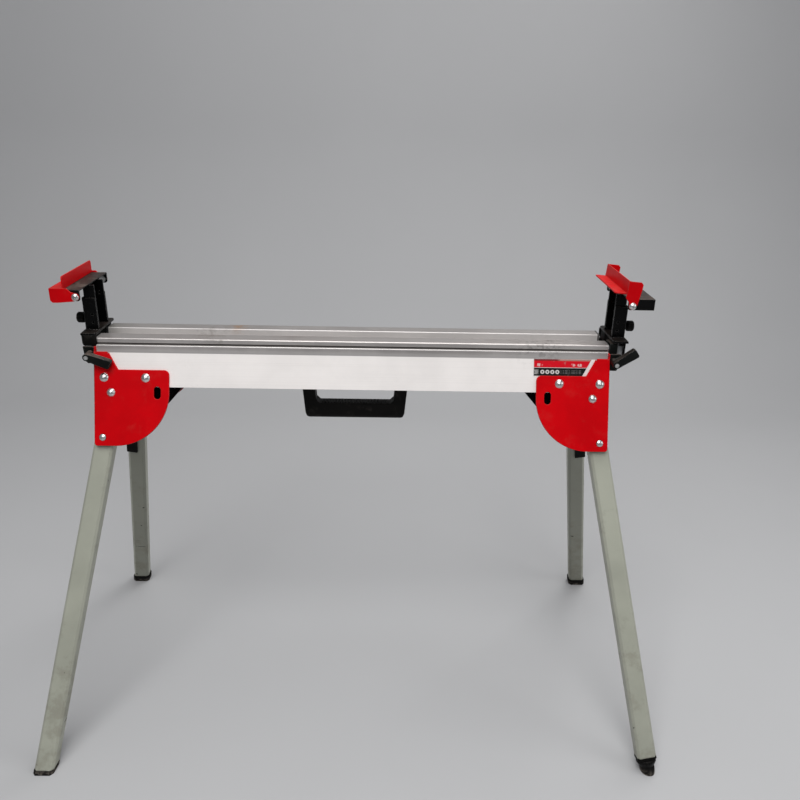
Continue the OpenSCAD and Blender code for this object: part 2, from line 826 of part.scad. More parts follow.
module stop_bolts(sx) {
    half = table_len / 2;
    grip = 2 * sheet_t + 2 * gap;
    color("silver") on_arm(sx) for (m = [0, 1]) mirror([0, m, 0])
        translate([stop_x, half + gap + sheet_t + gap, stop_z]) rotate([-90, 0, 0]) {
            difference() {
                dome(7, 4);
                translate([0, 0, 1.4]) cylinder(r = 2.9, h = 4, $fn = 6);
            }
            translate([0, 0, -grip - 6]) cylinder(r = 4, h = grip + 6);
            translate([0, 0, -grip - 5]) cylinder(r = 6.5, h = 5, $fn = 6);
        }
}

// Sheet metal stop that flips about the table's outer bolts
module flip_stop(sx, turn) {
    half = table_len / 2;
    y0 = half + gap;
    y1 = y0 + sheet_t;
    z0 = table_z - stop_z + 0.4;
    z1 = z0 + sheet_t;
    color("crimson") on_arm(sx) translate([stop_x, 0, stop_z]) rotate([0, -turn, 0]) {
        for (m = [0, 1]) mirror([0, m, 0]) along_y(y0, y1) difference() {
            union() {
                circle(r = 7.2);
                polygon([[0, 7.2], [7, 9], [14, z1], [stop_reach, z1], [stop_reach, -7],
                    [stop_reach - 4, -11], [stop_reach - 12, -11], [7, -8.6], [0, -7.2]]);
            }
            circle(r = 4 + fit);
        }
        span([stop_in, -y1, z0], [stop_reach, y1, z1]);
        along_x(stop_in, stop_in + sheet_t) difference() {
            translate([-half + 1, z0]) square([table_len - 2, stop_h]);
            translate([half - 1, z0 + stop_h]) corner_cut(4, 0);
            translate([1 - half, z0 + stop_h]) corner_cut(4, 1);
        }
    }
}

module height_knob(sx) {
    lobes = 10;
    r = 10.5;
    neck = 8;
    x = post_x1 + gap;
    color("black") on_arm(sx) {
        translate([post_x1 - post_t - post_t - 4, 0, knob_z]) rotate([0, 90, 0])
            cylinder(r = 3, h = 2 * post_t + 4 + gap);
        translate([x, 0, knob_z]) rotate([0, 90, 0]) difference() {
            rotate_extrude() polygon([[0, 0], [r - 4, 0], [r - 4, neck], [r, neck + 2],
                [r, neck + 12], [r - 1.5, neck + 14], [0, neck + 14]]);
            for (i = [0:lobes - 1]) rotate(360 / lobes * i) translate([r + 1.2, 0, neck + 1.5])
                cylinder(r = 2.4, h = 14, $fn = 20);
        }
    }
}

beam();
side_plate(-1, -1);  // plate_front_left
side_plate(1, -1);  // plate_front_right
side_plate(-1, 1);  // plate_rear_left
side_plate(1, 1);  // plate_rear_right
inner_bracket(-1);  // inner_bracket_left
inner_bracket(1);  // inner_bracket_right
plate_rivets();
pivot_bolts();
pivot_nuts();
body_screws();
carry_handle();
color("black") mirror([1, 0, 0]) clamp_housing(1);  // clamp_housing_left
color("black") clamp_housing(-1);  // clamp_housing_right
clamp_pads();
leg(-1, -1);  // leg_front_left
leg(1, -1);  // leg_front_right
leg(-1, 1);  // leg_rear_left
leg(1, 1);  // leg_rear_right
rubbers(-1, -1);  // rubbers_front_left
rubbers(1, -1);  // rubbers_front_right
rubbers(-1, 1);  // rubbers_rear_left
rubbers(1, 1);  // rubbers_rear_right
lock_spring(-1, -1);  // lock_spring_front_left
lock_spring(1, -1);  // lock_spring_front_right
lock_spring(-1, 1);  // lock_spring_rear_left
lock_spring(1, 1);  // lock_spring_rear_right
lock_plunger(-1, -1);  // lock_plunger_front_left
lock_plunger(1, -1);  // lock_plunger_front_right
lock_plunger(-1, 1);  // lock_plunger_rear_left
lock_plunger(1, 1);  // lock_plunger_rear_right
release_button(-1, -1);  // release_button_front_left
release_button(1, -1);  // release_button_front_right
release_button(-1, 1);  // release_button_rear_left
release_button(1, 1);  // release_button_rear_right
level_plug();
level_collar();
level_pad();
clamp_lever(-1, 0);  // clamp_lever_left
clamp_lever(1, lever_swing);  // clamp_lever_right
clamp_shaft(-1, 0);  // clamp_shaft_left
clamp_shaft(1, lever_swing);  // clamp_shaft_right
arm_bar(-1);  // arm_bar_left
arm_bar(1);  // arm_bar_right
arm_bracket(-1);  // arm_bracket_left
arm_bracket(1);  // arm_bracket_right
arm_block(-1);  // arm_block_left
arm_block(1);  // arm_block_right
mast(-1);  // mast_left
mast(1);  // mast_right
table(-1);  // table_left
table(1);  // table_right
stop_bolts(-1);  // stop_bolts_left
stop_bolts(1);  // stop_bolts_right
height_knob(-1);  // height_knob_left
height_knob(1);  // height_knob_right
flip_stop(-1, 0);  // flip_stop_left
flip_stop(1, right_stop);  // flip_stop_right
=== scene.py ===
"""Looks of a folding miter saw stand, laid out as an add-on and run as a script."""

import json
import math

import bpy
from mathutils import Matrix, Vector

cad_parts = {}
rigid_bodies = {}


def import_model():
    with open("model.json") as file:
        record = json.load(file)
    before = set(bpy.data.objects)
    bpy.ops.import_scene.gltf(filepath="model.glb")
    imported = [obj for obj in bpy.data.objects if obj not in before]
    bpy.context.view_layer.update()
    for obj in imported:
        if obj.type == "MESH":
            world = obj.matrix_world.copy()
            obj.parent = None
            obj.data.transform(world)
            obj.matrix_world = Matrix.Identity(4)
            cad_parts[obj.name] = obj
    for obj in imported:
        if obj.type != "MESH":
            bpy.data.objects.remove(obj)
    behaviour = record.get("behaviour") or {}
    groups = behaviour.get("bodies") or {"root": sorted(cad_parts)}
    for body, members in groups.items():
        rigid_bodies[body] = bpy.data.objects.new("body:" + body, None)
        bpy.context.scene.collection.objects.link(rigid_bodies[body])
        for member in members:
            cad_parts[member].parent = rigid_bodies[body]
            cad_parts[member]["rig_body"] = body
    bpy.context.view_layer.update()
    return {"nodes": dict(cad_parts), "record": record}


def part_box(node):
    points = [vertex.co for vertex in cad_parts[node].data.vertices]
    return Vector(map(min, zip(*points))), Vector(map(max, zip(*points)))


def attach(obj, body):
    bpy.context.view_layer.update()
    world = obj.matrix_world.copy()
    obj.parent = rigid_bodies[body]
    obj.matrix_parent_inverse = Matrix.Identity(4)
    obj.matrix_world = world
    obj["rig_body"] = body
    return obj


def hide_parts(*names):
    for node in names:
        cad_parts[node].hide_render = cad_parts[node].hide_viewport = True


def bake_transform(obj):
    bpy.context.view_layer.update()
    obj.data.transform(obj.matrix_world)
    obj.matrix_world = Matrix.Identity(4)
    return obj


bl_info = {
    "name": "Miter Saw Stand",
    "version": (1, 0, 0),
    "blender": (4, 5, 0),
    "location": "View3D > Sidebar > Saw Stand",
    "description": "Finishes, fittings and studio for a folding miter saw stand",
    "category": "Object",
}

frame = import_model()

MM = 0.001
SIDES = ("front", "rear")
ENDS = ("left", "right")
CORNERS = [side + "_" + end for end in ENDS for side in SIDES]

# The beam's skirts lean out from a crease below each rail, and a slot runs along each rail.
# Past RAIL_END the rear rail's end is painted dark, as painted shade for its open end.
LEAN = math.radians(20)
BEAM_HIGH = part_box("beam")[1]
RAIL_TOP = BEAM_HIGH.z
CREASE_OUT = 53.4 * MM
CREASE_DOWN = 27.5 * MM
CREASE = Vector((0, -CREASE_OUT, RAIL_TOP - CREASE_DOWN))
SLOT_LOW = RAIL_TOP - 12.7 * MM
SLOT_HIGH = RAIL_TOP - 10.0 * MM
RAIL_END = BEAM_HIGH.x - 3.6 * MM


class StandColours(bpy.types.PropertyGroup):
    """Base colours of the stand's finishes."""
    red: bpy.props.FloatVectorProperty(
        name="Red", description="Powder coat of the brackets and stops", subtype="COLOR",
        size=3, default=(0.57, 0.0006, 0.0035), min=0, max=1)
    leg: bpy.props.FloatVectorProperty(
        name="Legs", description="Grey-green paint of the legs", subtype="COLOR",
        size=3, default=(0.385, 0.392, 0.325), min=0, max=1)
    alloy: bpy.props.FloatVectorProperty(
        name="Aluminium", description="Anodised skin of the beam", subtype="COLOR",
        size=3, default=(0.83, 0.79, 0.765), min=0, max=1)
    black: bpy.props.FloatVectorProperty(
        name="Black", description="Paint of the brackets and uprights", subtype="COLOR",
        size=3, default=(0.0014, 0.0014, 0.0015), min=0, max=1)


class StandSizes(bpy.types.PropertyGroup):
    """Sizes of what the looks add to the solids."""
    edge: bpy.props.FloatProperty(
        name="Edge", description="Rounding of folded sheet and cast edges",
        unit="LENGTH", default=0.0005, min=0.0001, max=0.002)
    bead: bpy.props.FloatProperty(
        name="Weld bead", description="Radius of the weld beads",
        unit="LENGTH", default=0.0016, min=0.0005, max=0.004)
    label: bpy.props.FloatProperty(
        name="Label", description="Thickness of the label on the beam",
        unit="LENGTH", default=0.0002, min=0.0001, max=0.001)


class StandStudio(bpy.types.PropertyGroup):
    """The floor's colour and the lamps' power."""
    floor: bpy.props.FloatVectorProperty(
        name="Floor", description="Colour of the floor and backdrop", subtype="COLOR",
        size=3, default=(0.50, 0.50, 0.505), min=0, max=1)
    key: bpy.props.FloatProperty(
        name="Key light", description="Power of the lamp above the camera",
        default=78, min=0, max=500)
    top: bpy.props.FloatProperty(
        name="Top light", description="Power of the overhead lamp", default=26, min=0, max=500)
    rim: bpy.props.FloatProperty(
        name="Rim light", description="Power of the lamp at the back", default=16, min=0, max=500)
    side: bpy.props.FloatProperty(
        name="Side light", description="Power of the lamp on the right", default=9,
        min=0, max=500)


class Tap:
    """A shader socket that takes part in Python arithmetic."""

    def __init__(self, finish, socket):
        self.finish = finish
        self.socket = socket

    def calc(self, operation, first, second):
        """The result of a math node."""
        return self.finish.add("ShaderNodeMath", {"operation": operation}, {0: first, 1: second})

    def __add__(self, other):
        return self.calc("ADD", self, other)

    __radd__ = __add__

    def __sub__(self, other):
        return self.calc("SUBTRACT", self, other)

    def __rsub__(self, other):
        return self.calc("SUBTRACT", other, self)

    def __mul__(self, other):
        return self.calc("MULTIPLY", self, other)

    def most(self, other):
        """The greater of two values."""
        return self.calc("MAXIMUM", self, other)

    def step(self, low, high):
        """0 below low, 1 above high, smooth between them."""
        return self.finish.add(
            "ShaderNodeMapRange", {"interpolation_type": "SMOOTHSTEP"},
            {"Value": self, "From Min": low, "From Max": high})

    def drop(self, low, high):
        """1 below low, 0 above high, smooth between them."""
        return 1 - self.step(low, high)

    def band(self, low, high, soft):
        """1 from low to high, and 0 from a soft border outwards."""
        return self.step(low - soft, low) * self.drop(high, high + soft)


class Finish:
    """A material under construction: its node tree, its shader and its patterns."""

    def __init__(self, name, **fixed):
        self.material = bpy.data.materials.new(name)
        self.material.use_nodes = True
        self.tree = self.material.node_tree
        self.shader = self.tree.nodes["Principled BSDF"]
        for socket, value in fixed.items():
            self.shader.inputs[socket.replace("_", " ")].default_value = value
        self.place = self.add("ShaderNodeTexCoord", out="Object")
        self.bumps = []

    def add(self, kind, settings=None, values=None, out=0):
        """A new node, as the socket that comes out of it."""
        node = self.tree.nodes.new(kind)
        for key, value in (settings or {}).items():
            setattr(node, key, value)
        for key, value in (values or {}).items():
            if isinstance(value, Tap):
                self.tree.links.new(value.socket, node.inputs[key])
            else:
                node.inputs[key].default_value = value
        return Tap(self, node.outputs[out])

    def vector(self, operation, *values, out=0):
        """The result of a vector math node."""
        return self.add("ShaderNodeVectorMath", {"operation": operation},
                        dict(enumerate(values)), out)

    def stretched(self, x, y, z):
        """The place with each coordinate scaled, for patterns that run along an axis."""
        return self.vector("MULTIPLY", self.place, (x, y, z))

    def noise(self, scale, detail=3.0, rough=0.55, at=None):
        """Cloudy noise from 0 to 1, at the piece's own place or a stretched one."""
        return self.add("ShaderNodeTexNoise", None, {
            "Vector": at or self.place, "Scale": scale, "Detail": detail, "Roughness": rough})

    def scratches(self, scale, width, amount):
        """Fine lines, curved and broken, over a share of the surface."""
        bend = self.add("ShaderNodeTexNoise", None,
                        {"Vector": self.place, "Scale": scale * 0.7}, out="Color")
        border = self.add("ShaderNodeTexVoronoi", {"feature": "DISTANCE_TO_EDGE"},
                          {"Vector": self.vector("ADD", self.place, bend), "Scale": scale})
        share = self.noise(scale * 0.9, 2.0).step(1 - amount, 1.08 - amount)
        return border.drop(0.0, width) * share

    def edges(self, radius):
        """1 on edges and corners, 0 on the flats."""
        soft = self.add("ShaderNodeBevel", {"samples": 6}, {"Radius": radius})
        flat = self.add("ShaderNodeNewGeometry", out="True Normal")
        same = self.vector("DOT_PRODUCT", soft, flat, out="Value")
        return (1 - same).step(0.004, 0.10)

    def reach(self, point):
        """Distance from a point."""
        return self.vector("DISTANCE", self.place, point, out="Value")

    def near(self, point, radius):
        """1 at a point, falling to 0 at the radius."""
        return self.reach(point).drop(0.0, radius)

    def part(self, axis):
        """One of the coordinates of the place."""
        return self.add("ShaderNodeSeparateXYZ", None, {0: self.place}, out=axis)

    def facing(self, axis):
        """How far the surface faces along an axis of the piece, from -1 to 1."""
        normal = self.add("ShaderNodeTexCoord", out="Normal")
        return self.add("ShaderNodeSeparateXYZ", None, {0: normal}, out=axis)

    def blend(self, mask, below, above):
        """One colour over another where the mask is 1."""
        return self.add("ShaderNodeMix", {"data_type": "RGBA"},
                        {0: mask, 6: colour(below), 7: colour(above)}, out=2)

    def mottle(self, cloud, dark, light):
        """Two shades that drift into each other."""
        return self.blend(cloud.step(0.3, 0.7), dark, light)

    def bump(self, height, depth):
        """Keeps a pattern for the normal, with its depth in metres."""
        self.bumps.append((height, depth))

    def wire(self, **sockets):
        """Joins patterns to the shader, then chains the bumps into its normal."""
        for name, value in sockets.items():
            self.tree.links.new(value.socket, self.shader.inputs[name.replace("_", " ")])
        normal = None
        for height, depth in self.bumps:
            values = {"Height": height, "Distance": depth, "Strength": 1.0}
            if normal:
                values["Normal"] = normal
            normal = self.add("ShaderNodeBump", None, values, out="Normal")
        if normal:
            self.tree.links.new(normal.socket, self.shader.inputs["Normal"])
        return self.material


def colour(value):
    """A colour as a node takes it: a socket as it is, a triple with its alpha."""
    return value if isinstance(value, Tap) else (*tuple(value)[:3], 1.0)


def shade(rgb, factor):
    """The same colour, darker or lighter."""
    return tuple(c * factor for c in rgb)


# Linear colours of bare metal and plastic, wear and dirt, and of painted highlights, light, shade
# and reflection
# Dark of paint chips, and also the painted shade in the beam's slot
CHIP_AND_SHADE_DARK = (0.035, 0.028, 0.022)
RED_PRIMER = (0.07, 0.06, 0.055)
RED_DUST = (0.40, 0.16, 0.13)
RED_RUBBED = (0.70, 0.06, 0.05)
RED_EDGE = (0.78, 0.12, 0.11)
LEG_GRIME = (0.16, 0.135, 0.10)
LEG_SCRATCH = (0.13, 0.12, 0.10)
RAIL_DARK = (0.46, 0.43, 0.415)
RAIL_LIGHT = (0.62, 0.585, 0.565)
RAIL_TOP_DARK = (0.33, 0.285, 0.265)
REAR_RAIL_TOP = (0.36, 0.335, 0.32)
DRAWN_LINE = (0.40, 0.37, 0.35)
RAIL_EDGE_HIGHLIGHT = (1.0, 0.985, 0.97)
RAIL_INNER_PAINTED_LIGHT = (0.78, 0.75, 0.73)
SHOULDER_SHADE = (0.235, 0.225, 0.22)
OPEN_END_SHADE = (0.03, 0.027, 0.025)
BRACKET_REFLECTION = (0.17, 0.17, 0.135)
RAIL_GRIME = (0.17, 0.14, 0.115)
RAIL_SCRATCH = (0.20, 0.18, 0.17)
RUST_STAIN = (0.50, 0.24, 0.07)
PENCIL = (0.08, 0.07, 0.07)
ZINC_DARK = (0.50, 0.50, 0.49)
ZINC_LIGHT = (0.80, 0.80, 0.79)
ZINC_RUST = (0.20, 0.10, 0.05)
TUBE_GREY = (0.52, 0.53, 0.54)
CAST_BLACK = (0.0045, 0.0055, 0.0048)
BLACK_DUST = (0.105, 0.08, 0.068)
BLACK_SCRATCH = (0.13, 0.125, 0.12)
BLACK_EDGE_HIGHLIGHT = (0.085, 0.083, 0.080)
BARE_STEEL = (0.30, 0.29, 0.28)
PLASTIC_DARK = (0.0018, 0.0016, 0.0014)
PLASTIC_LIGHT = (0.0045, 0.004, 0.0035)
PLASTIC_DUST = (0.13, 0.115, 0.10)
PLASTIC_SCUFF = (0.08, 0.077, 0.073)
RUBBER_DARK = (0.0025, 0.0024, 0.0022)
RUBBER_LIGHT = (0.0075, 0.007, 0.0065)
FLOOR_DUST = (0.22, 0.19, 0.16)
SPRING_DARK = (0.16, 0.18, 0.22)
SPRING_LIGHT = (0.34, 0.35, 0.38)

# Places of single marks on the rails: a painted reflection of the dark bracket, a stain and a
# pencil scribble
BRACKET_REFLECTION_AT = (-0.50, 0.034, RAIL_TOP - 0.006)
RUST_STAIN_AT = (-0.235, 0.036, RAIL_TOP)
PENCIL_AT = (0.36, -0.034, RAIL_TOP)


def powder_coat(rgb):
    """Sprayed coat with orange peel, dusty on top, rubbed and chipped along its edges, with
    painted shade on its downward faces.
    """
    coat = Finish("red_powder_coat", Specular_IOR_Level=0.07)
    tone = coat.mottle(coat.noise(14.0, 4.0), shade(rgb, 0.90), shade(rgb, 1.07))
    dust = coat.facing("Z").step(0.5, 0.95) * coat.noise(38.0, 5.0, 0.7).step(0.30, 0.60)
    film = coat.noise(24.0, 6.0, 0.7).step(0.56, 0.72) * 0.05
    tone = coat.blend((dust * 0.16).most(film), tone, RED_DUST)
    rub = coat.scratches(46.0, 0.016, 0.38) * 0.5
    tone = coat.blend(rub, tone, RED_RUBBED)
    edge = coat.edges(0.0012)
    tone = coat.blend(edge * 0.45, tone, RED_EDGE)
    # Painted shade: faces turned downward darkened to a near-black red
    below = coat.facing("Z").drop(-0.65, 0.15)
    tone = coat.blend(below * 0.75, tone, shade(rgb, 0.12))
    chip = (edge * 0.8 + coat.noise(240.0, 4.0, 0.65)).step(1.205, 1.255)
    tone = coat.blend(chip, tone, RED_PRIMER)
    coat.bump(coat.noise(900.0, 2.0), 0.00004)
    coat.bump(1 - chip.most(rub * 0.3), 0.00012)
    gloss = coat.noise(60.0, 4.0) * 0.14 + 0.30 + dust * 0.25 + chip * 0.2
    return coat.wire(Base_Color=tone, Roughness=gloss)


def leg_paint(rgb):
    """Semi-gloss paint with dark chips along the corners, marks near the feet and painted shade on
    its downward faces.
    """
    coat = Finish("leg_paint", Specular_IOR_Level=0.35)
    tone = coat.mottle(coat.noise(7.0, 4.0), shade(rgb, 0.9), shade(rgb, 1.07))
    low = coat.part("Z").drop(0.02, 0.42)
    # Painted shade: faces turned downward darkened to under half the paint's colour
    below = coat.facing("Z").drop(-0.42, -0.16)
    tone = coat.blend(below * 0.80, tone, shade(rgb, 0.45))
    grime = (coat.noise(22.0, 6.0, 0.7) + low * 0.14).step(0.56, 0.74)
    tone = coat.blend(grime * 0.30, tone, LEG_GRIME)
    tone = coat.blend(coat.scratches(30.0, 0.012, 0.36) * 0.6, tone, LEG_SCRATCH)
    bands = coat.noise(3.0, 3.0, 0.6, coat.stretched(2.2, 2.2, 42.0)).step(0.68, 0.70)
    bands = bands * low.step(0.25, 0.75) * coat.noise(60.0, 2.0).step(0.44, 0.52)
    edge = coat.edges(0.0040)
    chip = (edge * 0.55 + coat.noise(95.0, 4.0, 0.6) + low * 0.05).step(1.02, 1.05)
    spots = (coat.noise(70.0, 1.0) + low * 0.04).step(0.80, 0.81)
    chip = chip.most(bands).most(spots)
    tone = coat.blend(edge * 0.22, tone, shade(rgb, 1.3))
    tone = coat.blend(chip, tone, CHIP_AND_SHADE_DARK)
    coat.bump(coat.noise(420.0, 2.0), 0.00003)
    coat.bump(1 - chip, 0.00018)
    rough = coat.noise(40.0, 4.0) * 0.2 + 0.30 + grime * 0.15
    return coat.wire(Base_Color=tone, Roughness=rough)


def anodised(rgb):
    """Extrusion with pale satin skirts, bare rubbed rails and old stains, with painted highlights
    on the rail edges, painted light on the rear rail's inner face, painted shade in the grooves,
    on the shoulder and at the open end, and a painted reflection of the bracket.
    """
    skin = Finish("anodised_aluminium", Specular_IOR_Level=0.4)
    height = skin.part("Z")
    skirt = height.drop(CREASE.z - 0.0007, CREASE.z - 0.0002)
    rail = 1 - skirt
    front = skin.part("Y").drop(-0.006, 0.006)
    rear = 1 - front
    up = skin.facing("Z").step(0.75, 0.97)
    lines = skin.noise(1.0, 4.0, 0.6, skin.stretched(1.4, 620.0, 620.0))
    cloud = skin.noise(9.0, 5.0, 0.6)

    # The metal: rails and skirts, then painted highlights on the edges, painted light on the inner
    # face, and painted shade in the slot, on the shoulder and at the open end
    bare = skin.mottle(cloud, RAIL_DARK, RAIL_LIGHT)
    # Darker colour on the rails' upward faces: in clouds on the front rail, evenly on the rear
    # rail
    bare = skin.blend(up * front * cloud.step(0.3, 0.75) * 0.8, bare, RAIL_TOP_DARK)
    bare = skin.blend(up * rear * 0.55, bare, REAR_RAIL_TOP)
    tone = skin.blend(skirt, bare, skin.mottle(cloud, shade(rgb, 0.95), shade(rgb, 1.03)))
    tone = skin.blend(lines.step(0.45, 0.75) * (0.22 - skirt * 0.14), tone, DRAWN_LINE)
    # Painted highlight: near-white colour along the rails' rounded edges, less metallic there
    edge = skin.edges(0.0016) * rail
    tone = skin.blend(edge, tone, RAIL_EDGE_HIGHLIGHT)
    inner = rear * skin.facing("Y").drop(-0.6, -0.3)
    # Painted shade: a dark line in the slot under each rail, but not on the rear rail's inner face
    slot = height.band(SLOT_LOW, SLOT_HIGH, 0.0004) * (1 - inner)
    tone = skin.blend(slot * 0.85, tone, CHIP_AND_SHADE_DARK)
    # Painted light: the rear rail's face toward the front is lighter and less metallic
    tone = skin.blend(inner * 0.6, tone, RAIL_INNER_PAINTED_LIGHT)
    # Painted shade: the rails' shoulder just above the crease is dark grey and less metallic
    shoulder_shade = rail * height.drop(CREASE.z, CREASE.z + 0.010)
    tone = skin.blend(shoulder_shade * 0.85, tone, SHOULDER_SHADE)
    # Painted shade: a dark band at the rear rail's open end
    ends = skin.part("X").step(RAIL_END - 0.0006, RAIL_END) * rear * rail
    tone = skin.blend(ends * 0.9, tone, OPEN_END_SHADE)

    # A painted reflection of the dark bracket, then the marks of use
    # Painted reflection of the dark bracket: a greenish cloud on the rear rail near its left end
    bracket_reflection = skin.near(BRACKET_REFLECTION_AT, 0.07) * cloud.step(0.30, 0.55)
    tone = skin.blend(bracket_reflection * 0.5, tone, BRACKET_REFLECTION)
    grime = (skin.noise(30.0, 6.0, 0.72) * skin.noise(5.0, 2.0).step(0.35, 0.75)).step(0.40, 0.58)
    tone = skin.blend(grime * (0.45 - skirt * 0.33), tone, RAIL_GRIME)
    fine = skin.scratches(24.0, 0.008, 0.36).most(skin.scratches(70.0, 0.014, 0.30))
    tone = skin.blend(fine * (0.55 - skirt * 0.2), tone, RAIL_SCRATCH)
    stain = skin.near(RUST_STAIN_AT, 0.028) * skin.noise(90.0, 4.0).step(0.38, 0.6)
    tone = skin.blend(stain * 0.6, tone, RUST_STAIN)
    scribble = skin.near(PENCIL_AT, 0.07) * skin.noise(120.0, 5.0).step(0.50, 0.60)
    tone = skin.blend(scribble * 0.45, tone, PENCIL)

    skin.bump(lines, 0.00002)
    skin.bump(1 - fine, 0.00004)
    rough = lines * 0.10 + 0.30 + cloud * 0.10 + grime * 0.2 + skirt * 0.08
    metal = 0.72 - skirt * 0.60 - slot * 0.7 - ends * 0.6 - edge * 0.5 - inner * 0.45 - shoulder_shade * 0.65
    return skin.wire(Base_Color=tone, Roughness=rough, Metallic=metal)


def bright_zinc():
    """Plated heads: bright, clouded and a little rusty in the corners."""
    plate = Finish("bright_zinc", Metallic=1.0)
    cloud = plate.noise(160.0, 5.0, 0.65)
    tone = plate.mottle(cloud, ZINC_DARK, ZINC_LIGHT)
    rust = plate.noise(70.0, 5.0, 0.7).step(0.64, 0.74)
    tone = plate.blend(rust * 0.5, tone, ZINC_RUST)
    plate.bump(plate.scratches(220.0, 0.03, 0.42), 0.00003)
    return plate.wire(Base_Color=tone, Roughness=cloud * 0.20 + 0.20 + rust * 0.3)


def tube_steel():
    """Drawn steel with lengthwise rubbing from sliding in the rail."""
    steel = Finish("galvanised_tube", Metallic=1.0)
    rub = steel.noise(1.0, 5.0, 0.6, steel.stretched(3.0, 420.0, 420.0))
    cloud = steel.noise(26.0, 4.0)
    tone = steel.mottle(cloud, shade(TUBE_GREY, 0.8), shade(TUBE_GREY, 1.12))
    tone = steel.blend(rub.step(0.55, 0.72) * 0.4, tone, shade(TUBE_GREY, 0.45))
    steel.bump(rub, 0.00003)
    return steel.wire(Base_Color=tone, Roughness=rub * 0.2 + 0.22 + cloud * 0.1)


def black_metal(name, rgb, gloss=0.20, wear=0.5, dust=0.3):
    """Black paint on sheet steel or a casting, dusty on top, grey where it has rubbed, with a
    painted highlight along its edges.
    """
    coat = Finish(name, Specular_IOR_Level=0.12)
    tone = coat.mottle(coat.noise(30.0, 4.0), shade(rgb, 0.7), shade(rgb, 1.5))
    up = coat.facing("Z").step(0.6, 0.95)
    film = (coat.noise(20.0, 6.0, 0.7) + coat.noise(150.0, 3.0) * 0.3).step(0.50, 0.80)
    tone = coat.blend((film * up * dust).most(up * dust * 0.3), tone, BLACK_DUST)
    rub = coat.scratches(60.0, 0.020, 0.40) * (0.25 + up * 0.5)
    tone = coat.blend(rub, tone, BLACK_SCRATCH)
    edge = coat.edges(0.0010)
    # Painted highlight: a pale line along every edge
    tone = coat.blend(edge * 0.30, tone, BLACK_EDGE_HIGHLIGHT)
    rubbed_through = 1.34 - wear * 0.3
    bare = (edge * 0.8 + coat.noise(180.0, 4.0, 0.65)).step(rubbed_through, rubbed_through + 0.08)
    tone = coat.blend(bare, tone, BARE_STEEL)
    coat.bump(coat.noise(520.0, 3.0), 0.00002)
    coat.bump(1 - bare.most(rub * 0.4), 0.00008)
    rough = coat.noise(70.0, 4.0) * 0.14 + gloss + film * up * 0.3
    return coat.wire(Base_Color=tone, Roughness=rough, Metallic=bare * 0.7)


def moulded_plastic():
    """Grained black plastic with pale scuffs on its edges."""
    skin = Finish("moulded_plastic", Specular_IOR_Level=0.10)
    cloud = skin.noise(24.0, 4.0)
    tone = skin.mottle(cloud, PLASTIC_DARK, PLASTIC_LIGHT)
    film = (skin.noise(34.0, 6.0, 0.7) + skin.noise(7.0, 2.0) * 0.4).step(0.72, 0.92)
    tone = skin.blend(film * 0.14, tone, PLASTIC_DUST)
    scuff = (skin.edges(0.0012) * 0.7 + skin.noise(150.0, 4.0)).step(1.12, 1.22)
    tone = skin.blend(scuff * 0.35, tone, PLASTIC_SCUFF)
    skin.bump(skin.noise(1500.0, 2.0, 0.5), 0.00008)
    return skin.wire(Base_Color=tone, Roughness=cloud * 0.12 + 0.42 + film * 0.25 + scuff * 0.1)


def worn_rubber():
    """Dull rubber, dusty near the floor."""
    skin = Finish("worn_rubber", Specular_IOR_Level=0.10)
    cloud = skin.noise(60.0, 5.0, 0.65)
    tone = skin.mottle(cloud, RUBBER_DARK, RUBBER_LIGHT)
    dust = skin.part("Z").drop(0.0, 0.016) * skin.noise(140.0, 5.0).step(0.42, 0.62)
    tone = skin.blend(dust * 0.55, tone, FLOOR_DUST)
    skin.bump(skin.noise(700.0, 3.0), 0.00012)
    return skin.wire(Base_Color=tone, Roughness=cloud * 0.15 + 0.72)


def spring_steel():
    """Blue-grey hardened strip."""
    strip = Finish("spring_steel", Metallic=1.0)
    cloud = strip.noise(200.0, 4.0)
    tone = strip.mottle(cloud, SPRING_DARK, SPRING_LIGHT)
    strip.bump(cloud, 0.00002)
    return strip.wire(Base_Color=tone, Roughness=cloud * 0.2 + 0.25)


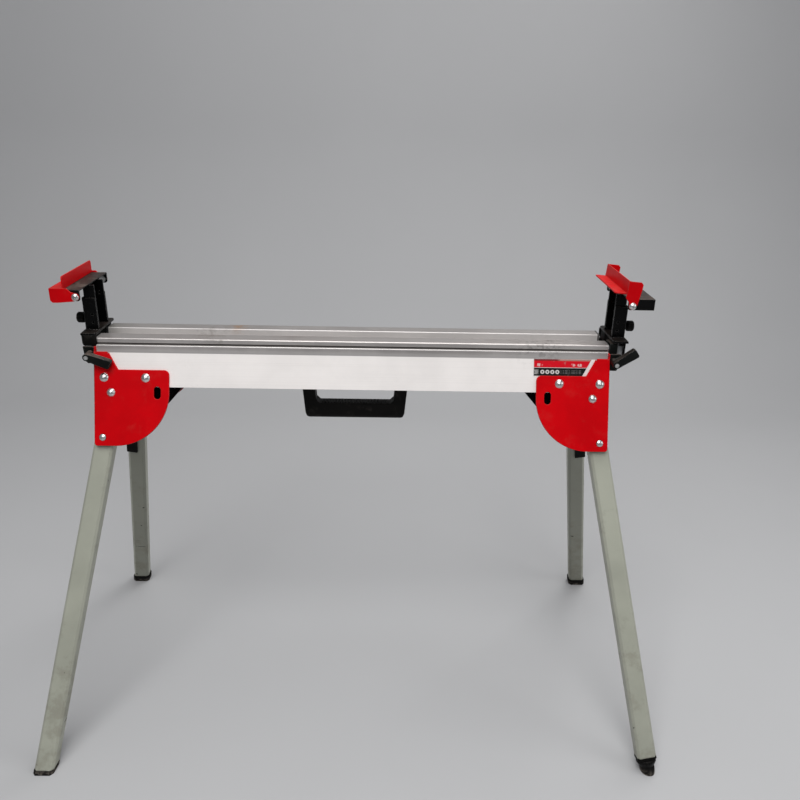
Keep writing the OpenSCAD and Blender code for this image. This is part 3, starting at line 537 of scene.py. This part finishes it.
class LabelPrint(Finish):
    """Print in the label's plane. It stands for lettering and says nothing."""

    red = ((0.56, 0.002, 0.010), (0.64, 0.004, 0.015))
    black = ((0.004, 0.006, 0.005), (0.009, 0.012, 0.010))
    pale = (0.70, 0.67, 0.65)
    shadow = ((0.060, 0.022, 0.020), (0.34, 0.25, 0.21))
    worn = (0.30, 0.28, 0.26)

    # Places: to the right of the label's left end in metres, down it as shares
    waist = 0.50
    blots = ((0.0105, 0.0090), (0.0765, 0.0065), (0.0910, 0.0065))
    blot_row = 0.36
    blot_height = 0.0035
    panel = (0.0023, 0.0100)
    panel_rows = (0.88, 0.64)
    rings = (0.0180, 0.0277, 0.0374, 0.0471)
    ring_row = 0.76
    dashes = (0.0540, 0.0930)
    dash_rows = (0.67, 0.75, 0.83)
    slope = 0.58

    def __init__(self, left, across, down):
        super().__init__("label_print", Specular_IOR_Level=0.2)
        self.left = left
        self.across = across
        self.down = down
        self.x = self.part("X")
        self.z = self.part("Z")

    def spot(self, u, share):
        """The point u to the right and a share of the way down the leaning skirt."""
        v = self.down * share
        return CREASE + Vector((self.left + u, -v * math.sin(LEAN), -v * math.cos(LEAN)))

    def level(self, share):
        """The height of a share of the way down."""
        return self.spot(0, share).z

    def between(self, first, last, soft):
        """1 in an upright strip of the label."""
        return self.x.band(self.left + first, self.left + last, soft)

    def words_in_red(self):
        """Unreadable words above the waist."""
        marks = None
        for u, length in self.blots:
            away = self.vector("SUBTRACT", self.place, self.spot(u, self.blot_row))
            away = self.vector("MULTIPLY", away, (self.blot_height / length, 1.0, 1.0))
            blot = self.vector("LENGTH", away, out="Value").drop(0.0020, 0.0036)
            gaps = self.noise(1.0, 1.0, 0.5, self.stretched(300.0, 60.0, 60.0)).step(0.42, 0.50)
            blot = blot * gaps
            marks = marks.most(blot) if marks else blot
        waist = self.level(self.waist)
        return marks * self.z.step(waist, waist + 0.0002) * 0.6

    def panel_in_black(self):
        """A dotted panel at the left of the black band."""
        low, high = (self.level(share) for share in self.panel_rows)
        soft = self.down * 0.02 * math.cos(LEAN)
        dots = self.noise(700.0, 2.0).step(0.35, 0.55)
        return self.between(*self.panel, 0.0003) * self.z.band(low, high, soft) * dots * 0.55

    def ring(self, u):
        """A pale ring in the black band."""
        reach = self.reach(self.spot(u, self.ring_row))
        return reach.step(0.0010, 0.0022) * reach.drop(0.0038, 0.0042) * 0.85

    def dash_lines(self):
        """Rows of dashes, as one list of masks."""
        words = self.noise(1.0, 1.0, 0.5, self.stretched(420.0, 1.0, 1.0)).step(0.48, 0.52)
        words = words * self.between(*self.dashes, 0.0005)
        levels = [self.level(share) for share in self.dash_rows]
        return [words * self.z.band(row - 0.0004, row + 0.0001, 0.0001) * 0.35 for row in levels]

    def border(self):
        """The label's pale left and lower edges and its slanted right end."""
        foot = self.level(1)
        straight = self.x.drop(self.left + 0.0012, self.left + 0.0014).most(
            self.z.drop(foot + 0.0003, foot + 0.0005))
        end = self.left + self.across
        slant = (self.x + (self.z - CREASE.z) * -self.slope).step(end - 0.0010, end - 0.0006)
        return straight.most(slant)

    def finished(self):
        """Plain bands, red above black, with rings, dashes and a pale border."""
        waist = self.level(self.waist)
        ink = self.noise(800.0, 2.0)
        tone = self.blend(self.z.step(waist - 0.0001, waist + 0.0001),
                          self.blend(ink, *self.black), self.blend(ink, *self.red))
        marks = self.z.band(waist - 0.0006, waist - 0.0001, 0.0002)
        rings = [self.ring(u) for u in self.rings]
        for mark in (self.words_in_red(), self.panel_in_black(), *rings, *self.dash_lines()):
            marks = marks.most(mark)
        tone = self.blend(marks, tone, self.pale)
        under_rail = self.z.step(CREASE.z - 0.0040, CREASE.z - 0.0034)
        strip = self.blend(self.x.step(self.left + 0.045, self.left + 0.055), *self.shadow)
        tone = self.blend(under_rail * 0.8, tone, strip)
        tone = self.blend(self.border(), tone, self.pale)
        wear = self.noise(60.0, 5.0, 0.7).step(0.60, 0.72).most(self.scratches(120.0, 0.03, 0.42))
        tone = self.blend(wear * 0.3, tone, self.worn)
        return self.wire(Base_Color=tone, Roughness=ink * 0.1 + 0.25 + wear * 0.3)


FINISHES = {}


def finish(name):
    """The shared material of that name, made the first time that it is asked for."""
    tints = bpy.context.scene.stand_colours
    makers = {
        "red": lambda: powder_coat(tints.red),
        "leg": lambda: leg_paint(tints.leg),
        "alloy": lambda: anodised(tints.alloy),
        "zinc": bright_zinc,
        "tube": tube_steel,
        "black": lambda: black_metal("black_sheet", tints.black),
        "table": lambda: black_metal("rubbed_table", tints.black, gloss=0.36, wear=0.8, dust=0.95),
        "cast": lambda: black_metal("black_casting", CAST_BLACK, gloss=0.40, dust=0.9),
        "plastic": moulded_plastic,
        "rubber": worn_rubber,
        "spring": spring_steel,
    }
    if name not in FINISHES:
        FINISHES[name] = makers[name]()
    return FINISHES[name]


def deselect():
    """Leaves edit mode and drops the selection."""
    if bpy.context.object and bpy.context.object.mode != "OBJECT":
        bpy.ops.object.mode_set(mode="OBJECT")
    bpy.ops.object.select_all(action="DESELECT")


def activate(piece):
    """Selects one piece alone and makes it the active one."""
    deselect()
    piece.select_set(True)
    bpy.context.view_layer.objects.active = piece


def body_of(node):
    """The body that a CAD node moves with."""
    return frame["nodes"][node]["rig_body"]


def slot_of(node):
    """The material slot that the record gives a CAD node."""
    rows = frame["record"]["subparts"]
    return next(row["material_slot"] for row in rows if row["node"] == node)


def dress(piece, look):
    """Gives a piece one material: a finish by its name, or a material."""
    piece.data.materials.clear()
    piece.data.materials.append(finish(look) if isinstance(look, str) else look)


def paint(nodes, look):
    """Gives CAD nodes that stay a finish."""
    for node in nodes:
        dress(frame["nodes"][node], look)


def modify(piece, kind, **settings):
    """Adds a modifier and applies it."""
    activate(piece)
    modifier = piece.modifiers.new(kind.title(), kind)
    for key, value in settings.items():
        setattr(modifier, key, value)
    bpy.ops.object.modifier_apply(modifier=modifier.name)


def settle(piece, matrix=None):
    """Puts the piece's place into its mesh and leaves its object at the origin."""
    bpy.context.view_layer.update()
    piece.data.transform((matrix or Matrix.Identity(4)) @ piece.matrix_world)
    piece.matrix_world = Matrix.Identity(4)


def seat(piece, name, look, body, slot):
    """Names and dresses a finished piece, and hands it to its body if it is given one."""
    piece.name = name
    piece.data.name = name
    dress(piece, look)
    if body:
        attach(piece, body)


MERGE_GAP = 0.002 * MM
FLAT_ANGLE = math.radians(0.6)


def rounded(node, look, width=None, angle=32.0, segments=2, rides=True):
    """Shows a CAD node as a copy whose edges sharper than the angle are rounded."""
    width = width or bpy.context.scene.stand_sizes.edge
    deselect()
    piece = bpy.data.objects.new(node + "_body", frame["nodes"][node].data.copy())
    bpy.context.scene.collection.objects.link(piece)
    activate(piece)
    bpy.ops.object.mode_set(mode="EDIT")
    bpy.ops.mesh.select_all(action="SELECT")
    bpy.ops.mesh.remove_doubles(threshold=MERGE_GAP)
    bpy.ops.mesh.dissolve_limited(angle_limit=FLAT_ANGLE)
    bpy.ops.mesh.customdata_custom_splitnormals_clear()
    bpy.ops.object.mode_set(mode="OBJECT")
    # With loop_slide on, the bevel drags wedges along the edges between coplanar faces.
    modify(piece, "BEVEL", width=width, segments=segments, limit_method="ANGLE",
           angle_limit=math.radians(angle), use_clamp_overlap=False, miter_outer="MITER_ARC",
           loop_slide=False)
    activate(piece)
    bpy.ops.object.shade_smooth_by_angle(angle=math.radians(angle - 4))
    modify(piece, "WEIGHTED_NORMAL", keep_sharp=True, weight=100)
    seat(piece, node + "_body", look, body_of(node) if rides else None, slot_of(node))
    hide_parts(node)
    return piece


def weld_bead(start, end, radius):
    """Flattened balls in a close row between two points, melted into one skin."""
    start, end = Vector(start), Vector(end)
    length = (end - start).length
    count = max(2, int(length / (radius * 0.8)) + 1)
    deselect()
    bpy.ops.mesh.primitive_uv_sphere_add(segments=14, ring_count=8, radius=radius)
    bead = bpy.context.object
    bpy.ops.transform.resize(value=(1.0, 0.8, 0.75))
    settle(bead)
    modify(bead, "ARRAY", use_relative_offset=False, use_constant_offset=True,
           constant_offset_displace=(0, 0, length / (count - 1)), count=count)
    modify(bead, "REMESH", mode="VOXEL", voxel_size=radius * 0.28, use_smooth_shade=True)
    turn = (end - start).to_track_quat("Z", "Y").to_matrix().to_4x4()
    settle(bead, Matrix.Translation(start) @ turn)
    return bead


def joined(pieces):
    """The pieces as one, under the first one's object."""
    activate(pieces[0])
    for piece in pieces:
        piece.select_set(True)
    bpy.ops.object.join()
    return bpy.context.object


class SAWSTAND_OT_beam(bpy.types.Operator):
    """Dress the two-rail beam, its rivets and screws"""
    bl_idname = "sawstand.beam"
    bl_label = "Beam"

    def execute(self, context):
        rounded("beam", "alloy", width=0.0004)
        paint(["plate_rivets", "body_screws"], "zinc")
        return {"FINISHED"}


class SAWSTAND_OT_label(bpy.types.Operator):
    """Put the plain two-band label on the right end of the front skirt"""
    bl_idname = "sawstand.label"
    bl_label = "Label"

    left = 0.3475
    across = 0.1145
    down = 0.0338
    slant = 0.0165
    corner_round = 0.0012
    below_crease = 0.0008
    off_skirt = 0.00002

    def execute(self, context):
        # A flat card with rounded corners and a slanted right end, laid on the skirt
        thick = context.scene.stand_sizes.label
        deselect()
        bpy.ops.mesh.primitive_plane_add(size=1)
        card = bpy.context.object
        card.scale = (self.across, self.down, 1)
        settle(card)
        for point in card.data.vertices:
            point.co.x += self.across / 2
            point.co.y -= self.down / 2
            if point.co.x > self.across / 2 and point.co.y < -self.down / 2:
                point.co.x -= self.slant
        activate(card)
        bpy.ops.object.mode_set(mode="EDIT")
        bpy.ops.mesh.select_all(action="SELECT")
        bpy.ops.mesh.bevel(offset=self.corner_round, segments=4, affect="VERTICES")
        bpy.ops.mesh.extrude_region_move(TRANSFORM_OT_translate={"value": (0, 0, thick)})
        bpy.ops.mesh.select_all(action="SELECT")
        bpy.ops.mesh.normals_make_consistent(inside=False)
        bpy.ops.object.mode_set(mode="OBJECT")
        lift = Matrix.Translation(CREASE + Vector((self.left, 0, 0)))
        tilt = Matrix.Rotation(math.pi / 2 - LEAN, 4, "X")
        drop = Matrix.Translation((0, -self.below_crease, self.off_skirt))
        settle(card, lift @ tilt @ drop)
        look = LabelPrint(self.left, self.across, self.down).finished()
        seat(card, "beam_label", look, "root", slot_of("carry_handle"))
        return {"FINISHED"}


class SAWSTAND_OT_brackets(bpy.types.Operator):
    """Dress the red side plates, the inner brackets and the leg pivots"""
    bl_idname = "sawstand.brackets"
    bl_label = "Leg brackets"

    def execute(self, context):
        for corner in CORNERS:
            rounded("plate_" + corner, "red", width=0.0011, segments=3)
        for end in ENDS:
            rounded("inner_bracket_" + end, "black")
        paint(["pivot_bolts", "pivot_nuts"], "zinc")
        return {"FINISHED"}


class SAWSTAND_OT_legs(bpy.types.Operator):
    """Dress the legs with their feet, locks and the levelling foot"""
    bl_idname = "sawstand.legs"
    bl_label = "Legs"

    def execute(self, context):
        for corner in CORNERS:
            rounded("leg_" + corner, "leg", width=0.0013, angle=20.0, segments=3)
            rounded("rubbers_" + corner, "rubber", width=0.0009, angle=25.0, segments=3)
            self.leaf(corner)
            paint(["lock_plunger_" + corner, "release_button_" + corner], "zinc")
        rounded("level_plug", "plastic", width=0.0006)
        paint(["level_collar"], "plastic")
        rounded("level_pad", "rubber", width=0.0008)
        return {"FINISHED"}

    def leaf(self, corner):
        """The leaf spring, rounded and baked in place, riding on no body."""
        leaf = rounded("lock_spring_" + corner, "spring", width=0.00015, rides=False)
        inward = Vector((0, math.cos(LEAN), -math.sin(LEAN)))
        if corner.startswith("rear"):
            inward.y = -inward.y
        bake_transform(leaf)


class SAWSTAND_OT_handle(bpy.types.Operator):
    """Dress the moulded carrying handle"""
    bl_idname = "sawstand.handle"
    bl_label = "Carrying handle"

    def execute(self, context):
        rounded("carry_handle", "plastic", width=0.0008)
        return {"FINISHED"}


class SAWSTAND_OT_clamps(bpy.types.Operator):
    """Dress the clamp housings, shafts and levers at the beam's ends"""
    bl_idname = "sawstand.clamps"
    bl_label = "Arm clamps"

    def execute(self, context):
        for end in ENDS:
            rounded("clamp_housing_" + end, "cast", width=0.0009)
            rounded("clamp_lever_" + end, "cast", width=0.0012, segments=3)
            paint(["clamp_shaft_" + end], "zinc")
        paint(["clamp_pads"], "plastic")
        return {"FINISHED"}


class SAWSTAND_OT_arms(bpy.types.Operator):
    """Dress the pull-out arms and weld their uprights on"""
    bl_idname = "sawstand.arms"
    bl_label = "Pull-out arms"

    sheet = 0.0033
    step_up = 0.004
    inset = 0.004

    def execute(self, context):
        for end in ENDS:
            paint(["arm_bar_" + end], "tube")
            rounded("arm_bracket_" + end, "black")
            rounded("arm_block_" + end, "plastic", width=0.0009)
            bead = joined(self.post_beads(end))
            seat(bead, "arm_weld_" + end, "black", body_of("arm_bracket_" + end),
                 slot_of("arm_bracket_" + end))
        return {"FINISHED"}

    def post_beads(self, end):
        """Along the foot of the upright's two flanges."""
        low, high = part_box("mast_" + end)
        foot = low.z - self.step_up
        radius = bpy.context.scene.stand_sizes.bead
        left, right = low.x + self.inset, high.x - self.inset
        return [weld_bead((left, side, foot), (right, side, foot), radius)
                for side in (low.y - self.sheet, high.y + self.sheet)]


class SAWSTAND_OT_supports(bpy.types.Operator):
    """Dress the masts, tables, flip stops, their bolts and the height knobs"""
    bl_idname = "sawstand.supports"
    bl_label = "Work supports"

    def execute(self, context):
        for end in ENDS:
            rounded("mast_" + end, "black")
            rounded("table_" + end, "table")
            rounded("flip_stop_" + end, "red")
            paint(["height_knob_" + end], "plastic")
            paint(["stop_bolts_" + end], "zinc")
        return {"FINISHED"}


class SAWSTAND_OT_studio(bpy.types.Operator):
    """Set the pale floor, the lamps and the camera of the photograph"""
    bl_idname = "sawstand.studio"
    bl_label = "Studio"

    focal_px = 748.86
    picture_px = 800
    sensor = 36.0
    eye = (0.05946, -1.42186, 1.25997)
    pitch, yaw, roll = 0.39175, 0.022795, 0.022452
    wall_at = 2.6
    wall_height = 7.0
    floor_half = 9.0
    curve = 1.1
    air = (0.80, 0.82, 0.86, 1)
    air_strength = 0.26
    # Each lamp's place, the height that it aims at over the origin, and its size
    lamp_rows = {
        "key": ((-0.25, -1.9, 3.3), 0.55, 2.1),
        "top": ((0.5, 0.2, 3.2), 0.6, 1.8),
        "rim": ((1.4, 1.5, 3.0), 0.7, 1.4),
        "side": ((2.5, -0.9, 1.5), 0.5, 1.2),
    }

    def execute(self, context):
        self.floor(context)
        self.lamps(context)
        self.camera(context)
        context.scene.view_settings.view_transform = "Standard"
        return {"FINISHED"}

    def floor(self, context):
        """Paper that lies under the stand and curves up behind it."""
        deselect()
        bpy.ops.mesh.primitive_plane_add(size=2 * self.floor_half)
        sweep = bpy.context.object
        sweep.location.y = self.wall_at - self.floor_half
        settle(sweep)
        activate(sweep)
        bpy.ops.object.mode_set(mode="EDIT")
        bpy.ops.mesh.select_mode(type="EDGE")
        bpy.ops.mesh.select_all(action="DESELECT")
        bpy.ops.object.mode_set(mode="OBJECT")
        for edge in sweep.data.edges:
            ends = [sweep.data.vertices[i].co.y for i in edge.vertices]
            edge.select = min(ends) > self.wall_at - 0.01
        bpy.ops.object.mode_set(mode="EDIT")
        up = (0, 0, self.wall_height)
        bpy.ops.mesh.extrude_region_move(TRANSFORM_OT_translate={"value": up})
        bpy.ops.object.mode_set(mode="OBJECT")
        modify(sweep, "BEVEL", width=self.curve, segments=24, limit_method="ANGLE",
               angle_limit=math.radians(60))
        activate(sweep)
        bpy.ops.object.shade_smooth()
        sweep.name = "studio_floor"
        tint = context.scene.stand_studio.floor
        look = Finish("studio_paper", Roughness=0.9)
        cloud = look.noise(1.3, 3.0)
        dress(sweep, look.wire(Base_Color=look.blend(cloud, shade(tint, 0.96), shade(tint, 1.03))))

    def lamps(self, context):
        """Four square lamps and the air's even light."""
        for name, (at, aim, size) in self.lamp_rows.items():
            deselect()
            bpy.ops.object.light_add(type="AREA", location=at)
            lamp = bpy.context.object
            lamp.name = name + "_lamp"
            ahead = Vector((0, 0, aim)) - Vector(at)
            lamp.rotation_euler = ahead.to_track_quat("-Z", "Y").to_euler()
            lamp.data.shape = "SQUARE"
            lamp.data.size = size
            lamp.data.energy = getattr(context.scene.stand_studio, name)
        world = bpy.data.worlds.new("studio_air")
        context.scene.world = world
        world.use_nodes = True
        air = world.node_tree.nodes["Background"]
        air.inputs["Color"].default_value = self.air
        air.inputs["Strength"].default_value = self.air_strength

    def camera(self, context):
        """The photograph's camera: the fit of its place, turn and focal length."""
        deselect()
        bpy.ops.object.camera_add()
        camera = bpy.context.object
        camera.name = "photo_camera"
        level = math.cos(self.pitch)
        ahead = Vector((math.sin(self.yaw) * level, math.cos(self.yaw) * level,
                        -math.sin(self.pitch)))
        right = Vector((math.cos(self.yaw), -math.sin(self.yaw), 0))
        up = right.cross(ahead)
        across = math.cos(self.roll) * right + math.sin(self.roll) * up
        upward = math.cos(self.roll) * up - math.sin(self.roll) * right
        turn = Matrix((across, upward, -ahead)).transposed().to_4x4()
        camera.matrix_world = Matrix.Translation(self.eye) @ turn
        camera.data.sensor_width = self.sensor
        camera.data.lens = self.focal_px / self.picture_px * self.sensor
        context.scene.camera = camera


class SAWSTAND_PT_panel(bpy.types.Panel):
    """Buttons that build the stand's looks"""
    bl_idname = "SAWSTAND_PT_panel"
    bl_label = "Saw Stand"
    bl_space_type = "VIEW_3D"
    bl_region_type = "UI"
    bl_category = "Saw Stand"

    def draw(self, context):
        for operator in OPERATORS:
            self.layout.operator(operator.bl_idname)
        for group in (context.scene.stand_colours, context.scene.stand_sizes,
                      context.scene.stand_studio):
            for name in group.__annotations__:
                self.layout.prop(group, name)


OPERATORS = (
    SAWSTAND_OT_studio,
    SAWSTAND_OT_beam,
    SAWSTAND_OT_label,
    SAWSTAND_OT_brackets,
    SAWSTAND_OT_legs,
    SAWSTAND_OT_handle,
    SAWSTAND_OT_clamps,
    SAWSTAND_OT_arms,
    SAWSTAND_OT_supports,
)
GROUPS = {"stand_colours": StandColours, "stand_sizes": StandSizes, "stand_studio": StandStudio}


def register():
    """Registers the settings, the operators and the panel."""
    for name, group in GROUPS.items():
        bpy.utils.register_class(group)
        setattr(bpy.types.Scene, name, bpy.props.PointerProperty(type=group))
    for cls in (*OPERATORS, SAWSTAND_PT_panel):
        bpy.utils.register_class(cls)


def unregister():
    """Takes back what register() added."""
    for cls in reversed((*OPERATORS, SAWSTAND_PT_panel)):
        bpy.utils.unregister_class(cls)
    for name, group in reversed(GROUPS.items()):
        delattr(bpy.types.Scene, name)
        bpy.utils.unregister_class(group)


def main():
    register()
    for operator in OPERATORS:
        call = operator.bl_idname.split(".")[1]
        getattr(bpy.ops.sawstand, call)()


if __name__ == "__main__":
    main()
